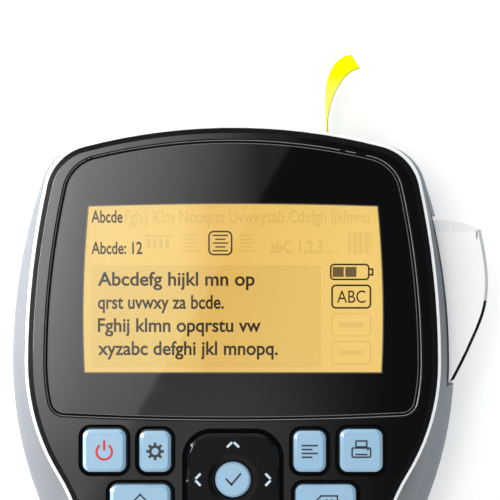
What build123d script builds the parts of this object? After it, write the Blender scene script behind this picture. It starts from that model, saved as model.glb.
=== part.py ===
"""Hand-held label maker with a large backlit display, an ABC keypad and a side cutter lever.

The body lies on its back: +Z points out of the display, +Y towards the end where the label comes out, and +X
towards the cutter lever. The origin is the centre of the middle rest pad, on the surface the body rests on.
All sizes are millimetres.
"""

import os
from math import acos, atan2, cos, degrees, hypot, pi, radians, sin, sqrt, tan

from build123d import *

# Levels above the rest plane
BACK = 0.8  # outside of the flat back; the rest pads fill the space below it
WALL = 2.2
FLOOR = BACK + WALL
SPLIT = 42.0  # top edge of the rear shell
TRIM_TOP = 44.4
FACE = 46.0  # top of the front cover
COVER_BOTTOM = 43.6
LENS_FLOOR, LENS_TOP = 44.1, 45.6
WELL_FLOOR = 44.5  # bottom of the sunk area round each key
KEY_TOP, KEY_BOTTOM, FLANGE_TOP = 47.3, 41.5, 42.5
MAT_LOW, MAT_TOP, ACTUATOR_TOP = 38.8, 39.9, 40.5
BOARD_LOW, BOARD_TOP = 37.2, 38.8
FRAME_LOW, FRAME_TOP = 27.0, 28.6
GEAR_LOW, GEAR_HIGH = 29.2, 32.2

# Plan of the front cover, and of the rear shell at four levels:
# half width, end of the head, half width of the grip, end of the tail, side radius above and below the widest
COVER = (53.2, 103.0, 37.6, -104.0, 215.0, 55.0)
TRIM = (54.0, 103.8, 38.4, -104.8, 215.8, 55.8)
SHELL = [
    (BACK, (52.7, 101.5, 37.0, -102.5, 170.0, 80.0)),
    (8.0, (56.9, 103.6, 40.8, -105.0, 155.0, 92.0)),
    (24.0, (58.6, 104.6, 42.2, -106.4, 150.0, 100.0)),
    (SPLIT, TRIM),
]
WIDEST_Y = 42.0
R_HEAD_EDGE, R_TAIL_EDGE = 153.0, 62.0
R_CORNER, R_NECK, R_TAIL_CORNER = 13.0, 50.0, 22.0

# Display
LENS_INSET, LENS_TOP_INSET, LENS_END_Y = 4.9, 3.7, 28.4
WINDOW_HALF, WINDOW_Y = 38.9, (39.6, 83.2)

# Shallow finger arch across the back of the grip
ARCH_Y, ARCH_RISE, ARCH_HALF = -48.0, 3.0, 42.0
ARCH_RADIUS = (ARCH_HALF**2 + ARCH_RISE**2) / (2 * ARCH_RISE)
ARCH_Z = BACK + ARCH_RISE - ARCH_RADIUS

# Keypad: name, centre, width and height of each key that isn't a letter
FUNCTION_KEYS = [
    ("key_power", (-33.3, 19.4), 11.1, 11.0),
    ("key_settings", (-20.15, 19.2), 8.1, 10.6),
    ("key_format", (19.85, 19.2), 8.3, 10.6),
    ("key_print", (33.2, 19.4), 11.0, 11.0),
    ("key_caps", (-24.0, 6.0), 15.6, 9.2),
    ("key_backspace", (24.0, 6.0), 15.6, 9.2),
]
NAV_Y, NAV_SIZE, NAV_CORNER, OK_RADIUS = 11.9, 24.0, 6.5, 4.6
PITCH, FIRST_ROW_Y = 13.0, -10.0
LETTER_W, LETTER_H = 10.4, 10.0
KEY_CORNER, KEY_BEVEL = 2.0, 0.8
KEY_GAP, WELL_MARGIN, FLANGE = 0.3, 1.2, 0.7

# Label path: the label runs along +Y on its edge
TAPE_X, TAPE_THICK = 25.1, 0.3
TAPE_LOW, TAPE_HIGH = 8.5, 20.5
CUT_Y = 94.0

# Gear train
MODULE, PRESSURE_ANGLE, BACKLASH = 0.6, radians(20), 0.2
IDLER_TEETH, PINION_TEETH, PLATEN_TEETH, SPINDLE_TEETH = 36, 12, 24, 24
FIT = 0.05  # radial clearance of the running fits
PLATEN_RADIUS = 5.0
PLATEN = (TAPE_X + TAPE_THICK / 2 + 0.05 + PLATEN_RADIUS, 71.0)
SPINDLE = (9.0, 70.0)
MOTOR_ANGLE = radians(165)  # direction from the idler to the motor
MOTOR_RADIUS = 6.3

# Cutter
PIVOT, PIN_RADIUS = (50.0, 40.0), 1.5
LEVER_LOW, LEVER_HIGH = 10.3, 33.7
ARM_LOW, ARM_HIGH = 11.0, 17.0
TIP, TIP_RADIUS = (43.2, 91.5), 1.6

# Cassette
CASSETTE_LOW, CASSETTE_HIGH, CASSETTE_WALL = 4.0, 25.0, 1.2
SUPPLY, SUPPLY_RADIUS = (12.0, 48.5), 12.7
REEL, REEL_RADIUS = (-15.0, 56.0), 10.5

# Cassette door and battery cover
DOOR_X, DOOR_Y = (-34.0, 36.0), (31.0, 85.0)
BATTERY_HALF, BATTERY_Y, BATTERY_LOW = 22.8, (-86.0, -15.0), 13.2
HINGE_RADIUS, HINGE_PIN, DOOR_GAP = 1.6, 0.9, 0.3

# Screws: head down in the case, head up in the mechanism frame
CASE_SCREWS = [(-36.0, 6.0), (36.0, 6.0), (-18.0, -96.0), (18.0, -96.0), (-38.0, 90.5), (-14.0, 94.0)]
FRAME_SCREWS = [(-39.5, 42.0), (-39.5, 74.0), (40.0, 34.5), (-5.0, 93.5)]
SCREW_RADIUS, SCREW_LENGTH, SCREW_HEAD, HEAD_HEIGHT = 1.1, 12.0, 2.2, 1.6
CASE_LEDGE, BOSS_SPLIT, BOSS_RADIUS = 26.0, 30.0, 3.0

# Sockets in the head end
CHARGE_X, CHARGE_Z, CHARGE_BORE = -22.0, 33.4, 2.85
USB_X, USB_Z = -6.5, 35.2


# ---------------------------------------------------------------- helpers


def box(x, y, z):
    """A box from its (low, high) pair along each axis."""
    centre = Pos(sum(x) / 2, sum(y) / 2, sum(z) / 2)
    return centre * Box(x[1] - x[0], y[1] - y[0], z[1] - z[0])


def post(at, radius, low, high):
    """A round post along Z."""
    return Pos(at[0], at[1], (low + high) / 2) * Cylinder(radius, high - low)


def rod(x, y, z, radius):
    """A round rod along X, between the two values of x."""
    return Pos(sum(x) / 2, y, z) * Rot(0, 90, 0) * Cylinder(radius, x[1] - x[0])


def prism(face, low, high):
    """A flat face raised between two levels."""
    return extrude(Pos(0, 0, low) * face, amount=high - low, dir=(0, 0, 1))


def polygon(points):
    return make_face(Polyline(*points, close=True))


def rounded(centre, width, height, radius):
    return Pos(centre[0], centre[1]) * RectangleRounded(width, height, radius)


def fuse(parts):
    return Part() + list(parts)


def bevel_top(solid, size):
    """Chamfers every edge of the highest face."""
    return chamfer(solid.faces().sort_by(Axis.Z)[-1].edges(), size)


def circles_meet(c1, r1, c2, r2, side):
    """One of the two points where two circles meet, picked by side (1 or -1)."""
    dx, dy = c2[0] - c1[0], c2[1] - c1[1]
    d = hypot(dx, dy)
    a = (r1**2 - r2**2 + d**2) / (2 * d)
    h = side * sqrt(r1**2 - a**2)
    return c1[0] + (a * dx - h * dy) / d, c1[1] + (a * dy + h * dx) / d


def on_circle(centre, radius, angle):
    return centre[0] + radius * cos(angle), centre[1] + radius * sin(angle)


def arc(centre, radius, start, end):
    """The short arc about centre from start to end, as its three points."""
    a = atan2(start[1] - centre[1], start[0] - centre[0])
    b = atan2(end[1] - centre[1], end[0] - centre[0])
    return start, on_circle(centre, radius, (a + b) / 2), end


def mirrored(points):
    return [(-x, y) for x, y in reversed(points)]


def outline(plan, inset=0.0, corner=R_CORNER):
    """Plan of the body, moved in by inset: a wide head, a narrower grip and a rounded tail."""
    half, head, grip, tail, upper, lower = plan
    half, head, grip, tail = half - inset, head - inset, grip - inset, tail + inset
    upper, lower = upper - inset, lower - inset
    head_c, side_c, low_c = (0, head - R_HEAD_EDGE), (half - upper, WIDEST_Y), (half - lower, WIDEST_Y)
    tail_c = (0, tail + R_TAIL_EDGE)
    shoulder = circles_meet(side_c, upper, head_c, R_HEAD_EDGE, 1)
    widest = (half, WIDEST_Y)
    waist = (grip, WIDEST_Y - sqrt(lower**2 - (grip - low_c[0]) ** 2))
    hip = (grip, tail_c[1] - sqrt(R_TAIL_EDGE**2 - grip**2))
    right = [arc(side_c, upper, shoulder, widest), arc(low_c, lower, widest, waist)]
    edges = [ThreePointArc((-shoulder[0], shoulder[1]), (0, head), shoulder)]
    edges += [ThreePointArc(*points) for points in right]
    edges += [Line(waist, hip), ThreePointArc(hip, (0, tail), (-hip[0], hip[1]))]
    edges += [Line((-hip[0], hip[1]), (-waist[0], waist[1]))]
    edges += [ThreePointArc(*mirrored(points)) for points in reversed(right)]
    face = make_face(edges)
    rounds = ((shoulder, corner - inset), (waist, R_NECK + inset), (hip, R_TAIL_CORNER - inset))
    for (x, y), radius in rounds:
        for side in (x, -x):
            near = min(face.vertices(), key=lambda v: hypot(v.X - side, v.Y - y))
            face = fillet(near, radius)
    return face


def section(z, plan, inset=0.0):
    return Pos(0, 0, z) * outline(plan, inset)


def arch(extra=0.0):
    """The round cutter that leaves the finger arch, grown by extra."""
    return Pos(0, ARCH_Y, ARCH_Z) * Rot(0, 90, 0) * Cylinder(ARCH_RADIUS + extra, 140)


def arch_height(y):
    """Height of the back's outside at y, within the arch."""
    return ARCH_Z + sqrt(ARCH_RADIUS**2 - (y - ARCH_Y) ** 2)


# ---------------------------------------------------------------- gears


def gear_face(teeth, centre, phase):
    """Involute gear with one tooth pointing at phase (radians)."""
    pitch, base = MODULE * teeth / 2, MODULE * teeth / 2 * cos(PRESSURE_ANGLE)
    tip, root = pitch + 0.8 * MODULE, pitch - 1.2 * MODULE
    start = max(base, root)
    half = pi / (2 * teeth) - BACKLASH / (2 * pitch) + tan(PRESSURE_ANGLE) - PRESSURE_ANGLE
    flank = []
    for i in range(4):
        r = start + (tip - start) * i / 3
        angle = acos(min(1.0, base / r))
        flank.append((r, half - tan(angle) + angle))
    if root < start:
        flank.insert(0, (root, flank[0][1]))
    points = []
    for k in range(teeth):
        middle = phase + 2 * pi * k / teeth
        points += [on_circle(centre, r, middle - a) for r, a in flank]
        points += [on_circle(centre, r, middle + a) for r, a in reversed(flank)]
    return polygon(points)


def meshed_centre(centre, teeth, other_teeth, angle):
    return on_circle(centre, MODULE * (teeth + other_teeth) / 2, angle)


def meshed_phase(at, teeth, phase, other, other_teeth):
    """Phase that puts a gap of the other gear on the tooth of the first."""
    direction = atan2(other[1] - at[1], other[0] - at[0])
    own = (direction - phase) * teeth / (2 * pi)
    return direction + pi - 2 * pi * (0.5 - own) / other_teeth


IDLER = circles_meet(
    SPINDLE, MODULE * (IDLER_TEETH + SPINDLE_TEETH) / 2, PLATEN, MODULE * (IDLER_TEETH + PLATEN_TEETH) / 2, 1
)
MOTOR = meshed_centre(IDLER, IDLER_TEETH, PINION_TEETH, MOTOR_ANGLE)


def driven_gear(at, teeth):
    """A gear in mesh with the idler."""
    return prism(gear_face(teeth, at, meshed_phase(IDLER, IDLER_TEETH, 0.0, at, teeth)), GEAR_LOW, GEAR_HIGH)


# ---------------------------------------------------------------- keys


def key_list():
    """Name, centre, width and height of every rectangular key."""
    keys = list(FUNCTION_KEYS)
    for i, letter in enumerate("abcdefghijklmnopqrstuvwxyz"):
        row, column = divmod(i, 5)
        keys.append((f"key_{letter}", ((column - 2) * PITCH, FIRST_ROW_Y - row * PITCH), LETTER_W, LETTER_H))
    keys.append(("key_space", (PITCH / 2, FIRST_ROW_Y - 5 * PITCH), LETTER_W + 3 * PITCH, LETTER_H))
    return keys


def key(centre, width, height):
    """A key cap with bevelled edges and a flange that keeps it under the cover."""
    cap = bevel_top(prism(rounded(centre, width, height, KEY_CORNER), KEY_BOTTOM, KEY_TOP), KEY_BEVEL)
    flange = rounded(centre, width + 2 * FLANGE, height + 2 * FLANGE, KEY_CORNER + FLANGE)
    return cap + prism(flange, KEY_BOTTOM, FLANGE_TOP)


def nav_pad():
    """Four-way pad round the OK key, with a shallow dish and a raised mark on each side."""
    pad = bevel_top(prism(rounded((0, NAV_Y), NAV_SIZE, NAV_SIZE, NAV_CORNER), KEY_BOTTOM, KEY_TOP), KEY_BEVEL)
    flange = rounded((0, NAV_Y), NAV_SIZE + 2 * FLANGE, NAV_SIZE + 2 * FLANGE, NAV_CORNER + FLANGE)
    dish = Pos(0, NAV_Y, KEY_TOP) * Cone(OK_RADIUS + 0.8, OK_RADIUS + 3.0, 1.0)
    hole = post((0, NAV_Y), OK_RADIUS + KEY_GAP, KEY_BOTTOM - 1, KEY_TOP + 1)
    return pad + prism(flange, KEY_BOTTOM, FLANGE_TOP) - dish - hole


def ok_key():
    return bevel_top(post((0, NAV_Y), OK_RADIUS, KEY_BOTTOM, KEY_TOP - 0.2), 0.5)


def key_openings():
    """Sunk wells round the keys and the holes through the cover."""
    cuts = []
    for _, centre, width, height in key_list():
        well, gap = 2 * WELL_MARGIN, 2 * KEY_GAP
        cuts.append(prism(rounded(centre, width + well, height + well, KEY_CORNER + WELL_MARGIN), WELL_FLOOR, 50))
        cuts.append(prism(rounded(centre, width + gap, height + gap, KEY_CORNER + KEY_GAP), 40, 50))
    for margin, low in ((WELL_MARGIN, WELL_FLOOR), (KEY_GAP, 40)):
        size = NAV_SIZE + 2 * margin
        cuts.append(prism(rounded((0, NAV_Y), size, size, NAV_CORNER + margin), low, 50))
    return cuts


def keypad_mat():
    """Silicone sheet with an actuator under each key."""
    sheet = box((-33, 33), (-82, 12), (MAT_LOW, MAT_TOP)) + box((-40, 40), (12, 27), (MAT_LOW, MAT_TOP))
    bumps = [post(c, 3.4, MAT_TOP, ACTUATOR_TOP) for name, c, w, h in key_list() if name != "key_space"]
    bumps += [post((PITCH / 2 + x, FIRST_ROW_Y - 5 * PITCH), 3.4, MAT_TOP, ACTUATOR_TOP) for x in (-16, 0, 16)]
    bumps += [post((x, NAV_Y + y), 1.9, MAT_TOP, ACTUATOR_TOP) for x, y in ((9, 0), (-9, 0), (0, 9), (0, -9))]
    bumps.append(post((0, NAV_Y), 3.0, MAT_TOP, ACTUATOR_TOP))
    return fuse([sheet] + bumps)


# ---------------------------------------------------------------- case


def lens_face(gap=0.0):
    """Plan of the lens: the cover's outline moved in, ended by a slightly bowed line below the window."""
    half, head, grip, tail, upper, lower = COVER
    plan = (half, head + LENS_INSET - LENS_TOP_INSET, grip, tail, upper, lower)
    wide = outline(plan, LENS_INSET + gap, R_CORNER + 2)
    end = LENS_END_Y + gap
    ends = make_face([ThreePointArc((-60, end + 1.4), (0, end - 0.7), (60, end + 1.4)),
                      Polyline((60, end + 1.4), (60, 120), (-60, 120), (-60, end + 1.4))])
    face = (wide & ends).faces()[0]
    for side in (-60, 60):
        near = min(face.vertices(), key=lambda v: hypot(v.X - side, v.Y - end))
        face = fillet(near, 3.6 - gap)
    return face


def display_lens():
    return bevel_top(prism(lens_face(0.15), LENS_FLOOR, LENS_TOP), 0.3)


def lcd_module():
    """Glass and backlight in a frame, with a connector tail towards the board."""
    body = box((-42.5, 42.5), (36.0, 87.0), (39.6, 43.0))
    glass = box((-40.5, 40.5), (38.0, 85.0), (43.0, 43.5))
    tail = box((-10, 10), (33.5, 36.0), (39.6, 40.0))
    return body + glass + tail


def front_cover():
    """Cover with the lens pocket, the display opening, the key wells and the screw bosses."""
    plate = bevel_top(prism(outline(COVER), TRIM_TOP, FACE), 1.4)
    plate += prism(outline(COVER, 2.9), COVER_BOTTOM, TRIM_TOP)
    bevel = Pos(0, 0, FACE - 0.9) * lens_face(0.0)
    plate -= prism(lens_face(0.0), LENS_FLOOR, FACE + 1)
    plate -= loft([bevel, Pos(0, 0, FACE + 0.02) * lens_face(-0.9)])
    opening = rounded((0, sum(WINDOW_Y) / 2), 2 * WINDOW_HALF + 1, WINDOW_Y[1] - WINDOW_Y[0] + 1, 1.5)
    cuts = [prism(opening, 40, 46)] + key_openings()
    plate = plate - cuts
    for at in CASE_SCREWS:
        plate += post(at, 2.5, BOSS_SPLIT + 0.2, COVER_BOTTOM)
        plate -= post(at, SCREW_RADIUS + 0.02, BOSS_SPLIT, 39.0)
    return plate


def rim_trim():
    """Bright rim clamped between the cover and the shell."""
    outer = bevel_top(prism(outline(TRIM), SPLIT, TRIM_TOP), 0.5)
    return outer - prism(outline(COVER, 2.6), SPLIT - 1, TRIM_TOP + 1)


def shell_body():
    """The shell's skin: lofted through its plans, hollow, with the finger arch across the grip."""
    outer = loft([section(z, plan) for z, plan in SHELL])
    levels = [(FLOOR, SHELL[0][1]), SHELL[1], SHELL[2], (SPLIT + 0.01, SHELL[3][1])]
    inner = loft([section(z, plan, WALL) for z, plan in levels])
    return outer - arch() - (inner - arch(WALL))


def hinge_lugs(x, y, z, low):
    """The pair of lugs just outside a lid's ends."""
    return [box((near, near + 4), (y - 2.4, y + 2.4), (low, z + 2.4)) for near in (x[0] - 4, x[1])]


def hinge_bore(x, y, z):
    """The bore through both lugs that a lid's pins run in."""
    return rod((x[0] - 3.3, x[1] + 3.3), y, z, HINGE_PIN + FIT)


DOOR_HINGE = (85.0, BACK + HINGE_RADIUS)
COVER_HINGE = (BATTERY_Y[0], arch_height(BATTERY_Y[0]) + HINGE_RADIUS)


def shell_openings():
    """Openings for the two lids, the lever, the label and the sockets, and the screw recesses."""
    door_y, door_z = DOOR_HINGE
    lid_y, lid_z = COVER_HINGE
    cuts = [
        box(DOOR_X, DOOR_Y, (-1, FLOOR + 1.5)),
        rod(DOOR_X, door_y, door_z, HINGE_RADIUS + DOOR_GAP),
        box(DOOR_X, (door_y - 1, door_y + HINGE_RADIUS + DOOR_GAP), (-1, door_z)),
        box((-BATTERY_HALF, BATTERY_HALF), BATTERY_Y, (-1, 14)),
        rod((-BATTERY_HALF, BATTERY_HALF), lid_y, lid_z, HINGE_RADIUS + DOOR_GAP),
        box((-BATTERY_HALF, BATTERY_HALF), (lid_y - HINGE_RADIUS - DOOR_GAP, lid_y + 1), (-1, lid_z)),
        box((44, 70), (35.8, 80.3), (LEVER_LOW - 0.6, LEVER_HIGH + 0.6)),
        box((TAPE_X - 1.2, TAPE_X + 1.2), (96, 110), (TAPE_LOW - 1, TAPE_HIGH + 1)),
        Pos(CHARGE_X, 104, CHARGE_Z) * Rot(90, 0, 0) * Cylinder(3.4, 12),
        box((USB_X - 4.6, USB_X + 4.6), (98, 110), (USB_Z - 1.9, USB_Z + 1.9)),
        box((-9, 9), (DOOR_Y[0] - 4.0, DOOR_Y[0] + 1), (-1, BACK + 1.0)),
        box((-9, 9), (BATTERY_Y[1] - 1, BATTERY_Y[1] + 4.0), (-1, arch_height(BATTERY_Y[1]) + 1.0)),
    ]
    return cuts


def shell_ribs():
    """Battery bay walls, stiffening ribs and the posts that carry the mechanism frame and the lever."""
    ribs = [box((x - 0.7, x + 0.7), (-88, -12), (2.5, 33.0)) for x in (-BATTERY_HALF - 0.7, BATTERY_HALF + 0.7)]
    ribs += [box((-BATTERY_HALF, BATTERY_HALF), (y, y + 1.4), (2.5, 33.0)) for y in (-90.5, -13.9)]
    ribs += [post(at, BOSS_RADIUS, 2.0, FRAME_LOW) for at in FRAME_SCREWS]
    ribs += [post(at, BOSS_RADIUS, 2.0, BOSS_SPLIT) for at in CASE_SCREWS]
    ribs += [post(PIVOT, 3.0, 2.0, LEVER_LOW - 0.3), post(PIVOT, PIN_RADIUS, 2.0, LEVER_HIGH + 1.2)]
    ribs += [box((-30, 30), (y, y + 1.4), (2.5, 9.0)) for y in (19.0, 26.0)]
    return ribs


def rest_pads():
    """Moulded pads that the body rests on; the middle one is centred on the origin."""
    pads = [rounded((0, 0), 44, 7, 2.5)]
    pads += [rounded((x, 93), 16, 6, 2.5) for x in (-24, 24)]
    pads += [rounded((x, -96.5), 12, 5, 2.0) for x in (-6.5, 6.5)]
    return [prism(pad, 0, BACK) for pad in pads]


def rear_shell():
    shell = shell_body() - shell_openings()
    inside = loft([section(z, plan, 0.8) for z, plan in SHELL])
    extras = [(rib & inside) - arch(1.0) for rib in shell_ribs()]
    shell = shell + extras
    shell -= [box((-BATTERY_HALF, BATTERY_HALF), BATTERY_Y, (-1, 30))]
    holes = [post(at, SCREW_HEAD + 0.3, -1, CASE_LEDGE) for at in CASE_SCREWS]
    holes += [post(at, SCREW_RADIUS + 0.15, CASE_LEDGE - 1, BOSS_SPLIT + 1) for at in CASE_SCREWS]
    holes += [post(at, SCREW_RADIUS + 0.02, FRAME_LOW - 13, FRAME_LOW + 1) for at in FRAME_SCREWS]
    battery_x = (-BATTERY_HALF, BATTERY_HALF)
    lugs = hinge_lugs(DOOR_X, *DOOR_HINGE, BACK + 0.4)
    lugs += hinge_lugs(battery_x, *COVER_HINGE, BACK + 1.6)
    bores = [hinge_bore(DOOR_X, *DOOR_HINGE), hinge_bore(battery_x, *COVER_HINGE)]
    return shell - holes + lugs + rest_pads() - bores


def hinged_edge(x, y, z):
    """A lid's barrel with the pins that run in the shell's lugs."""
    inner = (x[0] + DOOR_GAP, x[1] - DOOR_GAP)
    pins = (x[0] - 3.0, x[1] + 3.0)
    return rod(inner, y, z, HINGE_RADIUS) + rod(pins, y, z, HINGE_PIN)


def cassette_door():
    """Door over the cassette bay, with ribs that steady the cassette."""
    x = (DOOR_X[0] + DOOR_GAP, DOOR_X[1] - DOOR_GAP)
    plate = box(x, (DOOR_Y[0] + DOOR_GAP, DOOR_Y[1]), (BACK, FLOOR))
    pads = [box((px - 1, px + 1), (40, 72), (FLOOR, FLOOR + 0.7)) for px in (-20, 0, 14)]
    grooves = [box((-12, 12), (py, py + 1.2), (BACK - 1, BACK + 0.5)) for py in (34.5, 37.0, 39.5)]
    return fuse([plate, hinged_edge(DOOR_X, *DOOR_HINGE)] + pads) - grooves


def battery_cover():
    """Cover that follows the finger arch, with ribs that steady the battery pack."""
    y, z = COVER_HINGE
    half = BATTERY_HALF - DOOR_GAP
    block = box((-half, half), (y, BATTERY_Y[1] - DOOR_GAP), (0, 20))
    plate = (block & arch(WALL)) - arch()
    ribs = [box((px - 0.8, px + 0.8), (-72, -28), (arch_height(-72) + 1.0, BATTERY_LOW - 0.4)) for px in (-11, 0, 11)]
    grooves = [box((-9, 9), (py, py + 1.2), (0, arch_height(py) + 0.5)) for py in (-19.5, -22.0, -24.5)]
    return fuse([plate, hinged_edge((-BATTERY_HALF, BATTERY_HALF), y, z)] + ribs) - grooves


def battery_pack():
    """Two cells in a plastic sleeve, with contacts at the head end."""
    body = box((-21.8, 21.8), (-84.0, -17.0), (BATTERY_LOW, 31.6))
    body = fillet(body.edges().filter_by(Axis.Y), 6.5)
    return body + [box((x - 2, x + 2), (-17.0, -16.4), (20, 26)) for x in (-12, -4, 4)]


# ---------------------------------------------------------------- inside


def main_board():
    """Circuit board with the charging and data sockets on its underside."""
    board = box((-34, 34), (-82, 10), (BOARD_LOW, BOARD_TOP))
    board += box((-40, 40), (10, 29), (BOARD_LOW, BOARD_TOP))
    board += box((-42, 42), (29, 83), (BOARD_LOW, BOARD_TOP))
    board += box((-28, -1), (83, 99), (BOARD_LOW, BOARD_TOP))
    board -= [post(at, 3.0, BOARD_LOW - 1, BOARD_TOP + 1) for at in CASE_SCREWS]
    jack = box((CHARGE_X - 4.3, CHARGE_X + 4.3), (87, 99.2), (CHARGE_Z - 3.6, BOARD_LOW))
    jack -= Pos(CHARGE_X, 98, CHARGE_Z) * Rot(90, 0, 0) * Cylinder(CHARGE_BORE, 8)
    jack += Pos(CHARGE_X, 97, CHARGE_Z) * Rot(90, 0, 0) * Cylinder(0.9, 6)
    port = box((USB_X - 3.8, USB_X + 3.8), (94.5, 100.4), (USB_Z - 1.4, BOARD_LOW))
    port -= box((USB_X - 3.3, USB_X + 3.3), (96.0, 101), (USB_Z - 0.9, USB_Z + 0.9))
    chips = [box((x, x + w), (y, y + h), (BOARD_LOW - 1.4, BOARD_LOW)) for x, y, w, h in (
        (-8, -30, 14, 14), (12, -8, 10, 10), (-24, 4, 8, 6), (-30, -60, 6, 9), (20, -50, 9, 7))]
    return fuse([board, jack, port] + chips)


def mechanism_frame():
    """Moulded frame over the cassette bay: bay walls, axles, motor seat, cutter guide and anvil."""
    plate = box((-43, 40), (29.0, 96.3), (FRAME_LOW, FRAME_TOP)) & prism(outline(COVER, 4.5), 20, 30)
    walls = [
        box((-36.0, -34.6), (29.0, 80.0), (3.5, FRAME_LOW)),
        box((-34.6, 28.0), (29.0, 30.4), (3.5, FRAME_LOW)),
        box((21.0, 24.55), (91.0, 96.2), (6.5, FRAME_LOW)),
        box((32.0, 36.5), (94.5, 96.2), (6.5, FRAME_LOW)),
        box((32.0, 36.5), (91.6, 93.5), (19.2, FRAME_LOW)),
        post(PLATEN, 3.2, 23.0, FRAME_LOW),
        post(IDLER, 1.5, FRAME_LOW, GEAR_HIGH + 0.8),
        post(IDLER, 2.8, FRAME_LOW, GEAR_LOW - 0.2),
    ]
    holes = [
        box((22.2, 25), (CUT_Y - 0.6, CUT_Y + 0.6), (5, FRAME_LOW - 1)),
        post(PLATEN, PIN_RADIUS + FIT, 20, 30),
        post(SPINDLE, 2.2 + FIT, 20, 30),
        post(MOTOR, 2.6, 20, 30),
    ]
    holes += [post(at, SCREW_RADIUS + 0.15, 20, 30) for at in FRAME_SCREWS]
    holes += [post(at, BOSS_RADIUS + 0.5, 20, 31) for at in CASE_SCREWS]
    return fuse([plate] + walls) - holes


def idler_gear():
    return prism(gear_face(IDLER_TEETH, IDLER, 0.0), GEAR_LOW, GEAR_HIGH) - post(IDLER, 1.5 + FIT, 25, 35)


def platen_roller():
    """Rubber roller on a steel shaft, with its gear."""
    shaft = post(PLATEN, PIN_RADIUS, 6.0, GEAR_HIGH + 0.6)
    return fuse([post(PLATEN, PLATEN_RADIUS, TAPE_LOW - 0.5, TAPE_HIGH + 0.5), shaft, driven_gear(PLATEN, PLATEN_TEETH)])


def spindle_gear():
    """Gear and splined shaft that wind the used ribbon."""
    shaft = post(SPINDLE, 2.2, 6.5, GEAR_HIGH)
    splines = [Pos(*SPINDLE, 14.5) * Rot(0, 0, a) * Pos(2.4, 0, 0) * Box(1.0, 0.8, 15) for a in range(0, 360, 60)]
    return fuse([shaft, driven_gear(SPINDLE, SPINDLE_TEETH)] + splines)


def motor():
    """Small motor hung from the frame."""
    can = post(MOTOR, MOTOR_RADIUS, 8.0, FRAME_LOW - 0.05) - post(MOTOR, 0.75 + FIT, 19.8, 28)
    flats = [Pos(MOTOR[0], MOTOR[1] + y, 17) * Box(16, 3, 20) for y in (6.7, -6.7)]
    return can - flats + post(MOTOR, 2.0, 6.8, 8.0)


def motor_pinion():
    return driven_gear(MOTOR, PINION_TEETH) + post(MOTOR, 0.75, 20.0, GEAR_HIGH + 0.6)


def print_head():
    """Thermal head on its metal carrier, to the left of the tape."""
    plate = box((22.6, 24.3), (65.8, 76.2), (6.8, FRAME_LOW))
    return plate + box((24.3, 24.7), (69.5, 72.5), (TAPE_LOW - 0.3, TAPE_HIGH + 0.3))


def cassette_face(inset=0.0):
    """Plan of the cassette, stepped back beside the print head."""
    i = inset
    points = [(-31 + i, 33.5 + i), (28.0 - i, 33.5 + i), (28.0 - i, 63.5 - i), (20.6 - i, 63.5 - i)]
    points += [(20.6 - i, 79.3 - i), (-31 + i, 79.3 - i)]
    return polygon(points)


def cassette_case():
    """Hollow cassette with posts for its spools and a slot where the tape leaves."""
    shell = prism(cassette_face(), CASSETTE_LOW, CASSETTE_HIGH)
    shell = fillet(shell.edges().filter_by(Axis.Z).group_by(Axis.X)[0], 3.0)
    hollow = prism(cassette_face(CASSETTE_WALL), CASSETTE_LOW + CASSETTE_WALL, CASSETTE_HIGH - CASSETTE_WALL)
    shell -= [hollow, post(SPINDLE, 4.2, CASSETTE_HIGH - 3, CASSETTE_HIGH + 1)]
    shell -= box((TAPE_X - 0.9, TAPE_X + 0.9), (60, 66), (TAPE_LOW - 0.8, TAPE_HIGH + 0.8))
    shell -= box((-20, 0), (66, 76), (CASSETTE_LOW - 1, CASSETTE_LOW + 3))
    top = CASSETTE_HIGH - CASSETTE_WALL
    return shell + [post(SUPPLY, 4.0, CASSETTE_LOW + 0.5, top + 0.5), post(REEL, 3.0, CASSETTE_LOW + 0.5, top + 0.5)]


def spool(at, radius, bore, flange):
    """A wound spool between two thin flanges."""
    body = post(at, radius, TAPE_LOW, TAPE_HIGH)
    rims = [post(at, flange, z, z + 0.7) for z in (TAPE_LOW - 0.9, TAPE_HIGH + 0.2)]
    core = post(at, bore + 1.4, TAPE_LOW - 0.9, TAPE_HIGH + 0.9)
    return fuse([body, core] + rims) - post(at, bore, 0, 30)


def tape_roll():
    return spool(SUPPLY, SUPPLY_RADIUS, 4.0 + FIT, SUPPLY_RADIUS - 3.0)


def ribbon_supply():
    return spool(REEL, REEL_RADIUS, 3.0 + FIT, REEL_RADIUS + 0.8)


def ribbon_spool():
    """Take-up spool, keyed on the splines of the spindle."""
    return spool(SPINDLE, 5.2, 3.0, 6.4)


def label_tape():
    """The tape inside, up to the cutting plane, and the cut label that curls out of the head."""
    inside = box((TAPE_X - TAPE_THICK / 2, TAPE_X + TAPE_THICK / 2), (48.0, CUT_Y - 0.6), (TAPE_LOW, TAPE_HIGH))
    middle = (TAPE_LOW + TAPE_HIGH) / 2
    width = TAPE_HIGH - TAPE_LOW
    stations = [
        ((25.1, CUT_Y + 0.6), (0, 0), (0, 1)),
        ((25.1, 103.0), (0, 0), (0, 1)),
        ((25.15, 108.7), (0.5, -0.8), (0.05, 1)),
        ((26.0, 114.2), (1.8, -2.3), (0.3, 0.95)),
        ((28.0, 118.8), (2.4, -3.7), (0.62, 0.78)),
        ((32.8, 121.9), (1.8, -4.15), (0.95, 0.3)),
    ]
    sections = []
    for (x, y), (wx, wy), (tx, ty) in stations:
        across = Vector(wx, wy, sqrt(width**2 - wx**2 - wy**2)).normalized()
        along = Vector(tx, ty, 0)
        along = (along - across * along.dot(across)).normalized()
        plane = Plane(origin=(x, y, middle), x_dir=across, z_dir=along)
        sections.append(plane * Rectangle(width, TAPE_THICK))
    return [inside, loft(sections)]


# ---------------------------------------------------------------- cutter


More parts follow.
